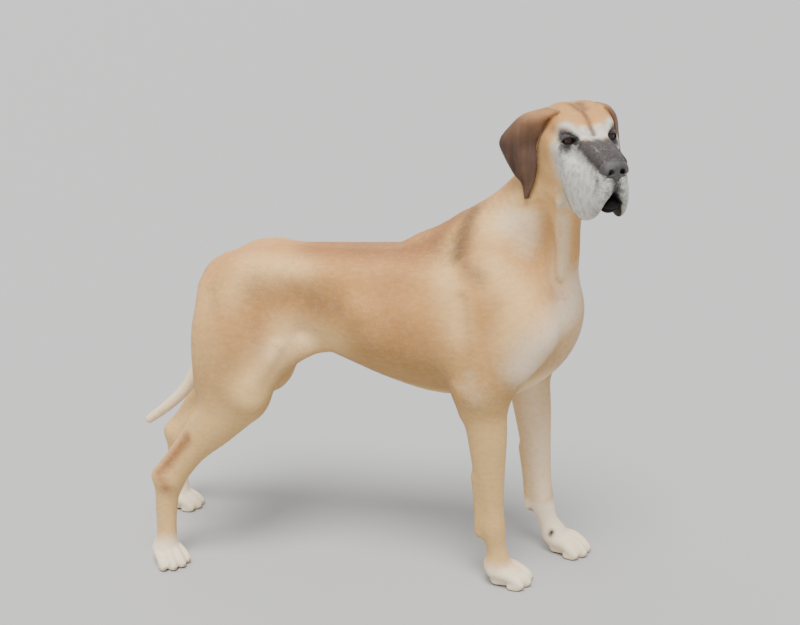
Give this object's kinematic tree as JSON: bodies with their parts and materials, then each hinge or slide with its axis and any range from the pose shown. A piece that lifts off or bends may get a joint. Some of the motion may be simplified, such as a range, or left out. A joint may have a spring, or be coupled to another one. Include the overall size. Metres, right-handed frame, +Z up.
{
  "type": "great dane",
  "caption": "Life-size still model of a standing great dane with hanging ears, head turned to its right and hind legs stretched back.",
  "frame": {"origin": "middle of the bounding box on the floor the paws stand on", "axes": "+X from tail to chest, +Y to the dog's left, +Z up"},
  "size_m": [1.1392, 0.4218, 1.0097],
  "materials": {
    "body_coat": "short flat fawn coat, paler below and on the feet",
    "face_coat": "short coat, dark mask gone grey over the muzzle",
    "ear_coat": "thin short dark brown coat",
    "nose": "moist pebbled black skin",
    "eyes": "wet, dark amber brown",
    "claws": "smooth horn"
  },
  "bodies": {
    "root": {"eye_left": "eyes", "ear_left": "ear_coat", "eye_right": "eyes", "ear_right": "ear_coat", "head": "face_coat", "lower_jaw": "face_coat", "nose": "nose", "neck": "body_coat", "torso": "body_coat", "tail": "body_coat", "foreleg_left": "body_coat", "claw_fore_left_1": "claws", "claw_fore_left_2": "claws", "claw_fore_left_3": "claws", "claw_fore_left_4": "claws", "forepaw_left": "body_coat", "hindleg_left": "body_coat", "claw_hind_left_1": "claws", "claw_hind_left_2": "claws", "claw_hind_left_3": "claws", "claw_hind_left_4": "claws", "hindpaw_left": "body_coat", "foreleg_right": "body_coat", "claw_fore_right_1": "claws", "claw_fore_right_2": "claws", "claw_fore_right_3": "claws", "claw_fore_right_4": "claws", "forepaw_right": "body_coat", "hindleg_right": "body_coat", "claw_hind_right_1": "claws", "claw_hind_right_2": "claws", "claw_hind_right_3": "claws", "claw_hind_right_4": "claws", "hindpaw_right": "body_coat"}
  },
  "joints": []
}
